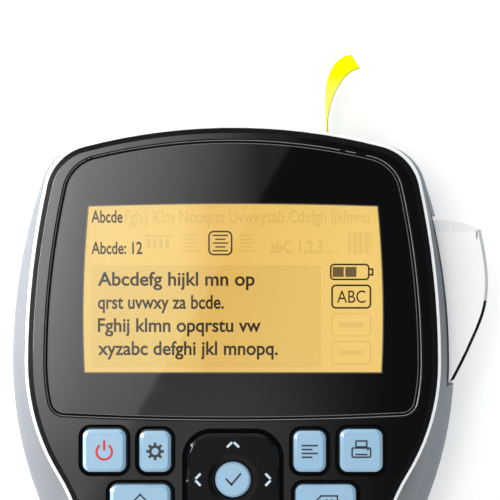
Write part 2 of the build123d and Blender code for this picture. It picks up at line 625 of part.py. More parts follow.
def lever_face():
    """Plan of the paddle and the hub behind it."""
    outer = Spline((58.1, 37.3), (61.4, 43.8), (63.7, 48.9), (65.8, 54.2), (66.9, 60.0), (66.9, 65.2), (65.1, 76.5))
    over = ThreePointArc((65.1, 76.5), (60.1, 78.5), (53.6, 79.25))
    back = Polyline((53.6, 79.25), (50.2, 78.6), (49.6, 60.0), (47.6, 47.0), (46.6, 40.5))
    hub = ThreePointArc((46.6, 40.5), (50.0, 36.55), (52.4, 37.2))
    foot = Polyline((52.4, 37.2), (56.8, 36.6), (58.1, 37.3))
    return make_face([outer, over, back, hub, foot])


def cutter_lever():
    """Hollow paddle on its pivot, with the inner arm that pushes the blade."""
    plan = lever_face()
    body = prism(plan, LEVER_LOW, LEVER_HIGH)
    body = fillet(body.faces().sort_by(Axis.Z)[-1].edges().sort_by(Axis.X)[-2:], 0.9)
    body -= Pos(59, 76.1, LEVER_HIGH) * Rot(-14, 0, 0) * Pos(0, 5, 5) * Box(20, 10, 10)
    pocket = polygon([(48, 46), (57.5, 46), (63.2, 57), (63.6, 66), (61.8, 75), (48, 76)])
    body -= prism(pocket, LEVER_LOW + 2, LEVER_HIGH - 2)
    slope = atan2(TIP[1] - 66.0, TIP[0] - 51.5)
    length = hypot(TIP[0] - 51.5, TIP[1] - 66.0)
    bar = Pos(51.5, 66.0, (ARM_LOW + ARM_HIGH) / 2) * Rot(0, 0, degrees(slope)) * Pos(length / 2, 0, 0)
    body += [bar * Box(length, 2.8, ARM_HIGH - ARM_LOW), post(TIP, TIP_RADIUS, ARM_LOW, ARM_HIGH)]
    body += [box((49.6, 65.0), (64.0, 66.0), (LEVER_LOW + 1, LEVER_HIGH - 1)) & prism(plan, 0, 40)]
    groove = box((63.8, 64.2), (74.3, 76.3), (LEVER_HIGH - 1.5, LEVER_HIGH + 1))
    return body - groove - post(PIVOT, PIN_RADIUS + FIT, 0, 40)


def cutter_blade():
    """Steel blade with a ground edge facing the tape and a bent tab that the lever pushes."""
    plate = prism(polygon([(31.0, CUT_Y - 0.3), (41.3, CUT_Y - 0.3), (41.3, CUT_Y + 0.3), (31.8, CUT_Y + 0.3)]), 7.4, 21.6)
    corner = Pos(31.0, CUT_Y, 21.6) * Rot(0, 30, 0) * Box(4, 2, 4)
    return plate - corner + box((40.7, 41.3), (88.8, CUT_Y + 0.3), (9.0, 18.6))


# ---------------------------------------------------------------- fasteners


def screw(at, seat, up):
    """A screw whose head bears on seat; up is 1 when its point is above the head."""
    shank = sorted((seat, seat + up * SCREW_LENGTH))
    head = sorted((seat, seat - up * HEAD_HEIGHT))
    body = post(at, SCREW_RADIUS, *shank) + post(at, SCREW_HEAD, *head)
    socket = sorted((head[0] if up == 1 else head[1], (head[0] + 0.9) if up == 1 else (head[1] - 0.9)))
    return body - box((at[0] - 1.5, at[0] + 1.5), (at[1] - 0.3, at[1] + 0.3), socket)


def screws():
    parts = [screw(at, CASE_LEDGE, 1) for at in CASE_SCREWS]
    return parts + [screw(at, FRAME_TOP, -1) for at in FRAME_SCREWS]


# ---------------------------------------------------------------- build


def build():
    nodes = {
        "rear_shell": rear_shell(),
        "rim_trim": rim_trim(),
        "front_cover": front_cover(),
        "display_lens": display_lens(),
        "lcd_module": lcd_module(),
        "keypad_mat": keypad_mat(),
        "main_board": main_board(),
        "mechanism_frame": mechanism_frame(),
        "cassette_door": cassette_door(),
        "battery_cover": battery_cover(),
        "battery_pack": battery_pack(),
        "cassette_case": cassette_case(),
        "tape_roll": tape_roll(),
        "ribbon_supply": ribbon_supply(),
        "ribbon_spool": ribbon_spool(),
        "label_tape": Compound(children=label_tape()),
        "print_head": print_head(),
        "platen_roller": platen_roller(),
        "idler_gear": idler_gear(),
        "spindle_gear": spindle_gear(),
        "motor": motor(),
        "motor_pinion": motor_pinion(),
        "cutter_lever": cutter_lever(),
        "cutter_blade": cutter_blade(),
        "screws": Compound(children=screws()),
        "nav_pad": nav_pad(),
        "key_ok": ok_key(),
    }
    for name, centre, width, height in key_list():
        nodes[name] = key(centre, width, height)
    return nodes


os.makedirs("parts", exist_ok=True)
for name, shape in build().items():
    export_step(shape, f"parts/{name}.step")
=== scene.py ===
"""Looks of the hand-held label maker: materials, key legends, the picture on its display, light and camera."""

from math import atan2, cos, hypot, pi, radians, sin

import bpy
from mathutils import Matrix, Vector

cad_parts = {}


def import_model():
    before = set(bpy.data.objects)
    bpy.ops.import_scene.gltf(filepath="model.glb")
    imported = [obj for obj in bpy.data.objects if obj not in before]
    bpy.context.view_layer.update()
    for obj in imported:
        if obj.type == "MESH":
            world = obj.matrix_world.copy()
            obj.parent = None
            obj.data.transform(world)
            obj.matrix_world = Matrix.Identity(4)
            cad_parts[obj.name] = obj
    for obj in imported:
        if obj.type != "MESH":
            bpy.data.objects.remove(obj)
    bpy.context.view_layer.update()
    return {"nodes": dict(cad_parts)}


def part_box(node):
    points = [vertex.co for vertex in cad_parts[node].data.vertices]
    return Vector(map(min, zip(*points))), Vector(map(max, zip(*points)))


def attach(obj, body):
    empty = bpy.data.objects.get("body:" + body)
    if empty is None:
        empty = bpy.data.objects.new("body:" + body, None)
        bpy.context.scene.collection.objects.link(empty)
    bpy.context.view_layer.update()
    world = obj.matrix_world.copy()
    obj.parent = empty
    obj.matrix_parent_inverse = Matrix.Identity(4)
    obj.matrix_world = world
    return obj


MM = 0.001

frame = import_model()
nodes = frame["nodes"]
scene = bpy.context.scene


# ---------------------------------------------------------------- sizes and places from the frame


LENS_LOW, LENS_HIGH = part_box("display_lens")
MODULE_LOW, MODULE_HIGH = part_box("lcd_module")
LEVER_LOW, LEVER_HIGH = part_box("cutter_lever")
COVER_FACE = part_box("front_cover")[1][2]
KEY_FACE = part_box("key_a")[1][2]

# clear window in the lens, over the display module
WINDOW_TOP = MODULE_HIGH[1] - 3.8 * MM
WINDOW_BOTTOM = MODULE_LOW[1] + 6.1 * MM
WINDOW_HALF = MODULE_HIGH[0] - 3.7 * MM
WINDOW_WIDEST = 54.0 * MM  # place along Y where it is widest
SIDE_BOW, TOP_BOW = 1.71, 0.46  # how far its sides and its top curve, per metre
WINDOW_LINE = 0.28 * MM  # width of the bright line round it


# ---------------------------------------------------------------- colours


def linear(rgb):
    """Linear colour of an sRGB triple from 0 to 255."""
    out = []
    for value in rgb:
        v = value / 255
        out.append(v / 12.92 if v <= 0.04045 else ((v + 0.055) / 1.055) ** 2.4)
    return out


def rgba(rgb, factor=1.0):
    """Colour for a socket, lighter or darker by a factor."""
    return [min(1.0, max(0.0, v * factor)) for v in rgb] + [1.0]


WHITE = [1.0, 1.0, 1.0]
SILVER = [0.225, 0.234, 0.247]
SILVER_TINT = (0.45, 0.52, 0.58, 1.0)
PALE_SILVER = [0.99, 0.985, 0.98]
BLACK = [0.0045, 0.0045, 0.005]
# painted highlight in the groove round the lens
GROOVE_HIGHLIGHT = [0.21, 0.205, 0.19]
# painted highlight on the lens's outer bevel
LENS_BEVEL_HIGHLIGHT = [0.22, 0.21, 0.19]
LENS_LINE = linear((92, 84, 70))
AMBER = linear((231, 194, 112))
ORANGE, GOLD = [0.80, 0.50, 0.125], [0.87, 0.60, 0.18]  # the backlight's tone in the middle and at both sides, a painted reflection of the softbox in the lens
INK = linear((54, 47, 36))
CELL_BROWN = linear((112, 92, 62))
KEY_BLUE = linear((150, 186, 212))
# painted shade on the keys' sides
KEY_BLUE_SHADE = linear((52, 112, 146))
YELLOW = [0.54, 0.525, 0.0006]
# painted highlight on the tape
YELLOW_HIGHLIGHT = [0.72, 0.70, 0.22]
SOLDER_MASK, COPPER_UNDER_MASK = [0.018, 0.12, 0.05], [0.04, 0.24, 0.09]
COOL_LIGHT = [0.72, 0.88, 1.0]


# ---------------------------------------------------------------- shader nodes


class Graph:
    """A node tree with short calls for the nodes that are used again and again."""

    def __init__(self, owner, source="ShaderNodeTexCoord", output="Object"):
        owner.use_nodes = True
        self.nodes = owner.node_tree.nodes
        self.links = owner.node_tree.links
        self.coords = self.nodes.new(source).outputs[output]

    def put(self, socket, value):
        if hasattr(value, "is_output"):
            self.links.new(value, socket)
        else:
            socket.default_value = value

    def math(self, kind, a, b=0.0):
        node = self.nodes.new("ShaderNodeMath")
        node.operation = kind
        self.put(node.inputs[0], a)
        self.put(node.inputs[1], b)
        return node.outputs[0]

    def times(self, first, *others):
        for other in others:
            first = self.math("MULTIPLY", first, other)
        return first

    def plus(self, a, b):
        return self.math("ADD", a, b)

    def minus(self, a, b):
        return self.math("SUBTRACT", a, b)

    def larger(self, a, b):
        return self.math("MAXIMUM", a, b)

    def below(self, value, limit):
        return self.math("LESS_THAN", value, limit)

    def above(self, value, limit):
        return self.math("GREATER_THAN", value, limit)

    def within(self, value, low, high):
        """1 where a value lies between two others."""
        return self.times(self.above(value, low), self.below(value, high))

    def stripes(self, value, per_metre, share):
        """1 on a share of each of the steps that a length is divided into."""
        return self.below(self.math("FRACT", self.times(value, per_metre)), share)

    def spread(self, value, low, high, out_low, out_high, shape="LINEAR"):
        """Maps a value between two ranges, held at their ends."""
        node = self.nodes.new("ShaderNodeMapRange")
        node.interpolation_type = shape
        for key, number in (("From Min", low), ("From Max", high), ("To Min", out_low), ("To Max", out_high)):
            node.inputs[key].default_value = number
        self.links.new(value, node.inputs["Value"])
        return node.outputs["Result"]

    def fade(self, value, low, high, out_low, out_high):
        return self.spread(value, low, high, out_low, out_high, "SMOOTHSTEP")

    def mix(self, factor, a, b):
        """Mixed colour: a where the factor is 0 and b where it is 1."""
        node = self.nodes.new("ShaderNodeMix")
        node.data_type = "RGBA"
        self.put(node.inputs["Factor"], factor)
        self.put(node.inputs[6], a)
        self.put(node.inputs[7], b)
        return node.outputs[2]

    def mix_value(self, factor, a, b):
        return self.plus(a, self.times(factor, b - a))

    def axes(self):
        node = self.nodes.new("ShaderNodeSeparateXYZ")
        self.links.new(self.coords, node.inputs["Vector"])
        return node.outputs["X"], node.outputs["Y"], node.outputs["Z"]


class Surface(Graph):
    """A material's node tree round its one shader."""

    def __init__(self, name):
        self.material = bpy.data.materials.new(name)
        super().__init__(self.material)
        self.shader = self.nodes["Principled BSDF"]

    def set(self, key, value):
        self.put(self.shader.inputs[key], value)

    def noise(self, scale, detail=4.0, rough=0.55, stretch=None):
        node = self.nodes.new("ShaderNodeTexNoise")
        node.inputs["Scale"].default_value = scale
        node.inputs["Detail"].default_value = detail
        node.inputs["Roughness"].default_value = rough
        source = self.coords
        if stretch:
            mapping = self.nodes.new("ShaderNodeMapping")
            mapping.inputs["Scale"].default_value = stretch
            self.links.new(self.coords, mapping.inputs["Vector"])
            source = mapping.outputs["Vector"]
        self.links.new(source, node.inputs["Vector"])
        return node.outputs["Fac"]

    def voronoi(self, scale):
        node = self.nodes.new("ShaderNodeTexVoronoi")
        node.inputs["Scale"].default_value = scale
        self.links.new(self.coords, node.inputs["Vector"])
        return node.outputs["Distance"]

    def relief(self, height, distance):
        """Bumps of the given depth, in metres."""
        node = self.nodes.new("ShaderNodeBump")
        node.inputs["Distance"].default_value = distance
        node.inputs["Strength"].default_value = 1.0
        self.links.new(height, node.inputs["Height"])
        self.set("Normal", node.outputs["Normal"])


def plastic(name, color, rough, metallic=0.0, coat=0.0, coat_rough=0.04, specular=0.5, mottle=0.04,
            mottle_scale=60.0, rough_spread=0.06, grain=0.0, grain_scale=2500.0):
    """Moulded or lacquered surface: slight mottling, uneven gloss and a fine grain."""
    t = Surface(name)
    t.set("Base Color", t.mix(t.noise(mottle_scale, 5.0), rgba(color, 1 - mottle), rgba(color, 1 + mottle)))
    smudge = t.noise(mottle_scale * 0.35, 6.0, 0.65)
    t.set("Roughness", t.spread(smudge, 0.3, 0.7, max(0.02, rough - rough_spread), rough + rough_spread))
    t.set("Metallic", metallic)
    t.set("Coat Weight", coat)
    t.set("Coat Roughness", coat_rough)
    t.set("Specular IOR Level", specular)
    if grain:
        t.relief(t.noise(grain_scale, 3.0), grain)
    return t


# ---------------------------------------------------------------- materials


def silver_lacquer(name, base, metallic, dark=None):
    """Metallic lacquer: small flakes of different tone over a satin base; dark, when given, masks the painted shade,
    which is black.
    """
    t = plastic(name, base, 0.42, metallic=metallic, specular=0.15)
    t.set("Specular Tint", SILVER_TINT)
    flakes = t.spread(t.voronoi(2600.0), 0.0, 0.6, 0.0, 1.0)
    mottled = t.mix(t.noise(45.0, 5.0), rgba(base, 0.95), rgba(base, 1.04))
    color = t.mix(flakes, rgba(base, 0.88), mottled)
    if dark:
        color = t.mix(dark(t), color, rgba(BLACK))
    t.set("Base Color", color)
    t.relief(t.noise(1800.0, 2.0), 0.02 * MM)
    return t.material


def lever_slot_shadow(t):
    """Painted shadow: a black band along the upper edge of the slot that the lever comes out of, where shade falls."""
    flank = 46.0 * MM  # the shell's side wall lies outside this
    x, y, z = t.axes()
    band = t.within(z, LEVER_HIGH[2] + 0.3 * MM, LEVER_HIGH[2] + 2.6 * MM)
    return t.times(band, t.within(y, LEVER_LOW[1] - MM, LEVER_HIGH[1] + 1.1 * MM), t.above(x, flank))


def lever_edge_shade(t):
    """Painted shade on the lever's rounded edge: black from its widest point down to its tip, and greyer than the top
    elsewhere.
    """
    widest = 58.0 * MM
    inner_shade, outer_shade = 0.10, 0.42
    x, y, z = t.axes()
    upper = t.mix_value(t.above(x, LEVER_HIGH[0] - 2.7 * MM), inner_shade, outer_shade)
    edge = t.within(z, LEVER_HIGH[2] - 0.95 * MM, LEVER_HIGH[2] - 0.006 * MM)
    return t.times(edge, t.larger(upper, t.below(y, widest)))


def gloss_black(name, matt_below, shine=0.5):
    """Piano-black plastic with faint hairline scuffs; its edges and sunk areas are finely textured."""
    matt_rough, matt_shine = 0.55, 0.03
    t = plastic(name, BLACK, 0.06, rough_spread=0.03)
    _, _, z = t.axes()
    sunk = t.below(z, matt_below)
    scuff = t.noise(300.0, 3.0, 0.6, stretch=(1.0, 12.0, 1.0))
    t.set("Roughness", t.larger(t.spread(scuff, 0.55, 0.8, 0.05, 0.12), t.times(sunk, matt_rough)))
    t.set("Specular IOR Level", t.mix_value(sunk, shine, matt_shine))
    t.relief(t.noise(90.0, 2.0), 0.008 * MM)
    return t.material


def window_mask(t, grow=0.0):
    """1 inside the display's window, whose sides and top are slightly bowed, and 0 outside."""
    x, y, _ = t.axes()
    off = t.minus(y, WINDOW_WIDEST)
    half = t.minus(WINDOW_HALF + grow, t.times(off, off, SIDE_BOW))
    top = t.minus(WINDOW_TOP + grow, t.times(x, x, TOP_BOW))
    return t.times(t.below(t.math("ABSOLUTE", x), half), t.below(y, top), t.above(y, WINDOW_BOTTOM - grow))


def lens_material():
    """Hard-coated lens: clear over the display, printed black round it, with a fine bright line between; its outer
    bevel carries a painted highlight in grey.
    """
    printed_ior, window_ior = 1.5, 1.3
    t = plastic("lens", BLACK, 0.03, rough_spread=0.01)
    clear = window_mask(t)
    line = t.minus(window_mask(t, WINDOW_LINE), clear)
    _, _, z = t.axes()
    # painted highlight: the outer bevel is coloured grey
    bevel_highlight = t.within(z, LENS_HIGH[2] - 0.24 * MM, LENS_HIGH[2] - 0.03 * MM)
    dark = t.mix(bevel_highlight, t.mix(line, rgba(BLACK), rgba(LENS_LINE)), rgba(LENS_BEVEL_HIGHLIGHT))
    t.set("Base Color", t.mix(clear, dark, rgba(WHITE)))
    t.set("Transmission Weight", clear)
    t.set("IOR", t.mix_value(clear, printed_ior, window_ior))
    haze = t.spread(t.noise(40.0, 4.0, 0.6), 0.45, 0.8, 0.02, 0.05)
    t.set("Roughness", t.times(haze, t.minus(1.0, clear)))
    t.relief(t.noise(60.0, 2.0), 0.006 * MM)
    return t.material


def dot_grid(t):
    """1 on the fine lines between the display's dots."""
    dots_per_metre, gap = 3300.0, 0.12
    x, y, _ = t.axes()
    return t.larger(t.stripes(x, dots_per_metre, gap), t.stripes(y, dots_per_metre, gap))


def backlight(name, tone=1.0):
    """Amber backlight behind a fine grid of dots; its glow is the display's own, but its being more orange in the
    middle than at both sides is a painted reflection; tone dims it.
    """
    t = plastic(name, AMBER, 0.6, rough_spread=0.05, specular=0.0)
    x, _, _ = t.axes()
    level = t.plus(t.spread(x, -38.0 * MM, -8.0 * MM, 0.93, 0.99), t.times(t.noise(22.0, 3.0), 0.04))
    level = t.times(level, t.minus(tone, t.times(dot_grid(t), 0.06)))
    # painted reflection: the lamp's reflection in the lens, put into the backlight's colour
    sides = t.larger(t.spread(x, -5.0 * MM, 32.0 * MM, 0.0, 1.0), t.spread(x, -6.0 * MM, -14.0 * MM, 0.0, 1.0))
    glow = t.mix(sides, rgba(ORANGE), rgba(GOLD))
    t.set("Base Color", t.mix(0.92, glow, [0.0, 0.0, 0.0, 1.0]))
    t.set("Emission Color", glow)
    t.set("Emission Strength", level)
    return t.material


def display_ink(name, color):
    """What is drawn dark on the display, with the dots' grid in it."""
    t = plastic(name, color, 0.6, specular=0.0)
    grid = dot_grid(t)
    t.set("Emission Color", t.mix(grid, rgba(color), rgba(color, 0.94)))
    t.set("Emission Strength", 1.0)
    t.set("Base Color", t.mix(grid, rgba(color, 0.08), rgba(color, 0.07)))
    return t.material


def board_material():
    """Green solder mask over copper tracks."""
    t = plastic("board", SOLDER_MASK, 0.35, coat=0.3)
    x, _, _ = t.axes()
    drawn = t.times(t.stripes(x, 420.0, 0.35), t.spread(t.voronoi(130.0), 0.28, 0.33, 0.0, 1.0))
    t.set("Base Color", t.mix(drawn, rgba(SOLDER_MASK), rgba(COPPER_UNDER_MASK)))
    t.relief(drawn, 0.04 * MM)
    return t.material


def wound_material(name, color):
    """Film wound on a spool: fine rings on its ends."""
    t = plastic(name, color, 0.25, rough_spread=0.08)
    rings = t.noise(900.0, 2.0, 0.5, stretch=(1.0, 1.0, 6.0))
    t.set("Base Color", t.mix(rings, rgba(color, 0.72), rgba(color)))
    t.relief(rings, 0.05 * MM)
    return t.material


def tape_material():
    """Laminated yellow tape with faint rolling lines, and a painted highlight that makes it a little lighter before it
    curls.
    """
    t = plastic("tape", YELLOW, 0.4, specular=0.0)
    lines = t.noise(900.0, 4.0, 0.7, stretch=(1.0, 0.3, 1.0))
    _, y, _ = t.axes()
    # painted highlight: lighter yellow along the rolling lines before the tape curls
    tape_highlight = t.times(lines, t.spread(y, 112.0 * MM, 118.0 * MM, 0.5, 0.0))
    t.set("Base Color", t.mix(tape_highlight, rgba(YELLOW), rgba(YELLOW_HIGHLIGHT)))
    t.relief(lines, 0.02 * MM)
    return t.material


def metal(name, color, rough, stretch=(1.0, 1.0, 20.0)):
    """Ground or drawn metal with fine lines along one axis."""
    t = plastic(name, color, rough, metallic=1.0)
    lines = t.noise(700.0, 3.0, 0.6, stretch=stretch)
    t.set("Roughness", t.spread(lines, 0.3, 0.7, rough * 0.7, rough * 1.4))
    t.relief(lines, 0.03 * MM)
    return t.material


def rim_highlight_material():
    """Plastic rim trim in diffuse white, a painted highlight for the bright band along the housing's rim, with a
    slightly uneven gloss.
    """
    t = plastic("rim", [0.98, 0.98, 0.98], 0.2, mottle=0.02, coat=0.6, coat_rough=0.05)
    t.relief(t.noise(150.0, 3.0), 0.02 * MM)
    return t.material


def key_material():
    """Pale blue key caps with a soft sheen, and painted shade that makes them a deeper blue down their sides."""
    t = plastic("key_blue", KEY_BLUE, 0.22, coat=0.35, coat_rough=0.1, mottle=0.03, mottle_scale=200.0)
    _, _, z = t.axes()
    # painted shade: the caps turn darker blue towards their lower sides
    side_shade = t.spread(z, KEY_FACE - 3.0 * MM, KEY_FACE - 0.7 * MM, 1.0, 0.0)
    body = t.mix(t.noise(250.0, 4.0), rgba(KEY_BLUE, 0.96), rgba(KEY_BLUE, 1.03))
    t.set("Base Color", t.mix(side_shade, body, rgba(KEY_BLUE_SHADE)))
    t.relief(t.noise(2200.0, 2.0), 0.01 * MM)
    return t.material


silver = silver_lacquer("silver_lacquer", SILVER, 0.55)
dark_plastic = plastic("dark_plastic", [0.03, 0.03, 0.032], 0.5, grain=0.06 * MM).material
acetal = plastic("acetal", [0.80, 0.78, 0.70], 0.35, grain=0.02 * MM).material
key_blue = key_material()

NODE_MATERIALS = {
    # the shell's lacquer has a painted shadow along the lever slot
    "rear_shell": silver_lacquer("shell_lacquer_slot_shadow", SILVER, 0.55, lever_slot_shadow),
    "cassette_door": silver,
    "battery_cover": silver,
    # the lever's lacquer has painted shade on its rounded edge
    "cutter_lever": silver_lacquer("lever_lacquer_edge_shade", PALE_SILVER, 0.05, lever_edge_shade),
    # the rim trim's white is a painted highlight
    "rim_trim": rim_highlight_material(),
    "front_cover": gloss_black("gloss_black", COVER_FACE - 0.012 * MM),
    "nav_pad": gloss_black("pad_black", KEY_FACE - 2.3 * MM, 0.12),
    "display_lens": lens_material(),
    # the backlight's orange-to-gold tint is a painted reflection
    "lcd_module": backlight("display"),
    "keypad_mat": plastic("silicone", [0.16, 0.17, 0.18], 0.6, grain=0.05 * MM).material,
    "main_board": board_material(),
    "mechanism_frame": dark_plastic,
    "battery_pack": plastic("sleeve", [0.02, 0.022, 0.03], 0.28, coat=0.3, grain=0.08 * MM, grain_scale=400.0).material,
    "cassette_case": plastic("cassette", [0.42, 0.42, 0.41], 0.45, grain=0.06 * MM).material,
    "tape_roll": wound_material("tape_wound", YELLOW),
    "ribbon_supply": wound_material("ribbon", [0.012, 0.012, 0.015]),
    "ribbon_spool": wound_material("ribbon_used", [0.015, 0.014, 0.016]),
    "label_tape": tape_material(),
    "print_head": metal("head_alloy", [0.70, 0.71, 0.72], 0.35),
    "platen_roller": plastic("rubber", [0.035, 0.035, 0.037], 0.7, grain=0.08 * MM, grain_scale=1500.0).material,
    "idler_gear": acetal,
    "spindle_gear": acetal,
    "motor": metal("steel", [0.62, 0.63, 0.65], 0.28),
    "motor_pinion": metal("brass", [0.75, 0.56, 0.22], 0.25),
    "cutter_blade": metal("blade_steel", [0.66, 0.67, 0.69], 0.2, stretch=(20.0, 1.0, 1.0)),
    "screws": metal("zinc", [0.50, 0.51, 0.53], 0.35, stretch=(1.0, 1.0, 1.0)),
}

for node in nodes:
    mesh = nodes[node].data
    mesh.materials.clear()
    mesh.materials.append(NODE_MATERIALS.get(node, key_blue))


# ---------------------------------------------------------------- printed marks


INK_THICKNESS = 0.04  # mm
CAPITAL = 0.69  # height of a capital in a font of size 1


def add_object(name, data):
    piece = bpy.data.objects.new(name, data)
    scene.collection.objects.link(piece)
    return piece


class Ink:
    """Flat marks collected as thin closed prisms, in millimetres from their own origin."""

    def __init__(self, at):
        self.at = at
        self.verts, self.faces = [], []

    def poly(self, points):
        base, n = len(self.verts), len(points)
        area = sum(a[0] * b[1] - b[0] * a[1] for a, b in zip(points, points[1:] + points[:1]))
        if area < 0:
            points = points[::-1]
        for level in (0.0, INK_THICKNESS):
            self.verts += [(self.at[0] + x, self.at[1] + y, level) for x, y in points]
        self.faces.append([base + i for i in reversed(range(n))])
        self.faces.append([base + n + i for i in range(n)])
        for i in range(n):
            j = (i + 1) % n
            self.faces.append([base + i, base + j, base + n + j, base + n + i])

    def rect(self, x, y, w, h):
        self.poly([(x - w / 2, y - h / 2), (x + w / 2, y - h / 2), (x + w / 2, y + h / 2), (x - w / 2, y + h / 2)])

    def bars(self, x, y, widths, thick, flush_left=False):
        """Bars 1 mm apart, like lines of text, from y downwards."""
        for i, w in enumerate(widths):
            shift = (w - widths[0]) / 2 if flush_left else 0.0
            self.rect(x + shift, y - i, w, thick)

    def line(self, a, b, w):
        dx, dy = b[0] - a[0], b[1] - a[1]
        d = hypot(dx, dy)
        nx, ny = -dy / d * w / 2, dx / d * w / 2
        self.poly([(a[0] + nx, a[1] + ny), (a[0] - nx, a[1] - ny), (b[0] - nx, b[1] - ny), (b[0] + nx, b[1] + ny)])

    def path(self, points, w):
        """Lines from point to point, each longer by half its width at both ends to close the corners."""
        for a, b in zip(points, points[1:]):
            dx, dy = b[0] - a[0], b[1] - a[1]
            d = hypot(dx, dy)
            grow = (dx / d * w / 2, dy / d * w / 2)
            self.line((a[0] - grow[0], a[1] - grow[1]), (b[0] + grow[0], b[1] + grow[1]), w)

    def arc(self, x, y, inner, outer, start=0.0, end=360.0, steps=32):
        for i in range(steps):
            a = radians(start + (end - start) * i / steps)
            b = radians(start + (end - start) * (i + 1) / steps)
            self.poly([(x + r * cos(k), y + r * sin(k)) for r, k in ((inner, a), (outer, a), (outer, b), (inner, b))])

    def disc(self, x, y, r, steps=24):
        self.poly([(x + r * cos(2 * pi * i / steps), y + r * sin(2 * pi * i / steps)) for i in range(steps)])

    def frame(self, x, y, w, h, line, radius, steps=6):
        """Rounded outline of a box; its inner corners are square where the radius is less than the line."""
        inner_radius, inset = max(0.0, radius - line), max(0.0, line - radius)
        outer, inner = [], []
        for quarter, (side_x, side_y) in enumerate(((1, 1), (-1, 1), (-1, -1), (1, -1))):
            cx, cy = side_x * (w / 2 - radius), side_y * (h / 2 - radius)
            for i in range(steps + 1):
                a = radians(90 * quarter + 90 * i / steps)
                outer.append((x + cx + radius * cos(a), y + cy + radius * sin(a)))
                inner.append((x + cx - side_x * inset + inner_radius * cos(a),
                              y + cy - side_y * inset + inner_radius * sin(a)))
        n = len(outer)
        for i in range(n):
            j = (i + 1) % n
            self.poly([outer[i], outer[j], inner[j], inner[i]])

    def make(self, name, z, material, body, slot):
        mesh = bpy.data.meshes.new(name)
        mesh.from_pydata([(x * MM, y * MM, (z + h) * MM) for x, y, h in self.verts], [], self.faces)
        mesh.update()
        mesh.materials.append(material)
        piece = add_object(name, mesh)
        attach(piece, body)


def lettering(name, words, at, size, z, material, body, width=None, align="LEFT", bold=0.0):
    """Letters as thin solids: size is the capitals' height and width the line's, both in millimetres."""
    curve = bpy.data.curves.new(name, "FONT")
    curve.body = words
    curve.size = 1.0
    curve.align_x = align
    curve.offset = bold
    text = add_object(name, curve)
    bpy.context.view_layer.update()
    mesh = bpy.data.meshes.new_from_object(text.evaluated_get(bpy.context.evaluated_depsgraph_get()))
    bpy.data.objects.remove(text)
    bpy.data.curves.remove(curve)
    xs = [v.co.x for v in mesh.vertices]
    scale_y = size / CAPITAL
    scale_x = width / (max(xs) - min(xs)) if width else scale_y
    start = (max(xs) + min(xs)) / 2 if align == "CENTER" else min(xs)
    for v in mesh.vertices:
        v.co = Vector(((at[0] + (v.co.x - start) * scale_x) * MM, (at[1] + v.co.y * scale_y) * MM, z * MM))
    mesh.materials.clear()
    mesh.materials.append(material)
    piece = add_object(name, mesh)
    solid = piece.modifiers.new("thickness", "SOLIDIFY")
    solid.thickness = INK_THICKNESS * MM
    solid.offset = 1.0
    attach(piece, body)


# ---------------------------------------------------------------- the display's picture, in millimetres


SCREEN_LEFT, SCREEN_TOP = MODULE_LOW[0] / MM + 3.6, WINDOW_TOP / MM
GLASS_FACE = MODULE_HIGH[2] / MM
INK_LIFT = 0.03
SMALL_TEXT, LARGE_TEXT = 3.1, 3.45
MARGIN, TEXT_MARGIN = 2.1, 3.8  # left of the status rows and of the text area
ROW_1, ROW_2 = 4.75, 12.9
TEXT_ROW, TEXT_STEP = 21.1, 6.0
KEY_COLUMN = 69.6  # middle of the column of key symbols

ink_dark = display_ink("lcd_ink", INK)
ink_cells = display_ink("lcd_cells", CELL_BROWN)
ink_ghost = backlight("lcd_ghost", 0.87)
ink_panel = backlight("lcd_panel", 0.91)


def on_screen(u, v):
    """Position in the frame of a point u to the right of and v below the window's top left corner."""
    return SCREEN_LEFT + u, SCREEN_TOP - v


def screen_text(name, words, u, v, size, width, material=ink_dark, bold=0.018, align="LEFT"):
    lettering(name, words, on_screen(u, v), size, GLASS_FACE + INK_LIFT, material, "case",
              width=width, align=align, bold=bold)


def show(ink, name, material, lift=INK_LIFT):
    ink.make(name, GLASS_FACE + lift, material, "case", "lcd_module")


panel = Ink(on_screen(31.9, 29.1))
panel.rect(0, 0, 59.6, 26.4)
show(panel, "lcd_text_area", ink_panel, -INK_LIFT)

screen_text("lcd_word", "Abcde", MARGIN, ROW_1, SMALL_TEXT, 8.1)
screen_text("lcd_ghost_words", "Fghij Klm Nopqrst Uvwxyzab Cdefgh Ijklmno", 10.8, ROW_1, SMALL_TEXT, 63.8,
            ink_ghost, 0.012)
screen_text("lcd_point", "Abcde: 12", MARGIN, ROW_2, SMALL_TEXT, 13.2)
screen_text("lcd_ghost_digits", "abC 1,2,3...", 48.6, ROW_2 - 0.3, SMALL_TEXT, 16.0, ink_ghost)
TEXT_LINES = (("Abcdefg hijkl mn op", 40.7), ("qrst uvwxy za bcde.", 32.7),
              ("Fghij klmn opqrstu vw", 42.3), ("xyzabc defghi jkl mnopq.", 46.7))
for i, (words, width) in enumerate(TEXT_LINES):
    screen_text(f"lcd_line_{i + 1}", words, TEXT_MARGIN, TEXT_ROW + TEXT_STEP * i, LARGE_TEXT, width)

align_icon = Ink(on_screen(35.6, 10.1))
align_icon.frame(0, 0, 6.3, 6.4, 0.42, 1.4)
align_icon.bars(0, 2.0, (4.0, 2.6, 4.0, 2.6, 4.0), 0.36)
show(align_icon, "lcd_align_icon", ink_dark)

BATTERY_AT = on_screen(KEY_COLUMN - 0.2, 17.6)
battery = Ink(BATTERY_AT)
battery.frame(-0.2, 0, 10.3, 4.3, 0.42, 1.1)
for y in (0.75, -0.75):
    battery.rect(5.2, y, 0.9, 0.42)
battery.rect(5.75, 0, 0.42, 1.9)
show(battery, "lcd_battery_icon", ink_dark)
cells = Ink(BATTERY_AT)
for x in (-3.2, 0.1):
    cells.rect(x, 0, 2.9, 2.6)
show(cells, "lcd_battery_cells", ink_cells)

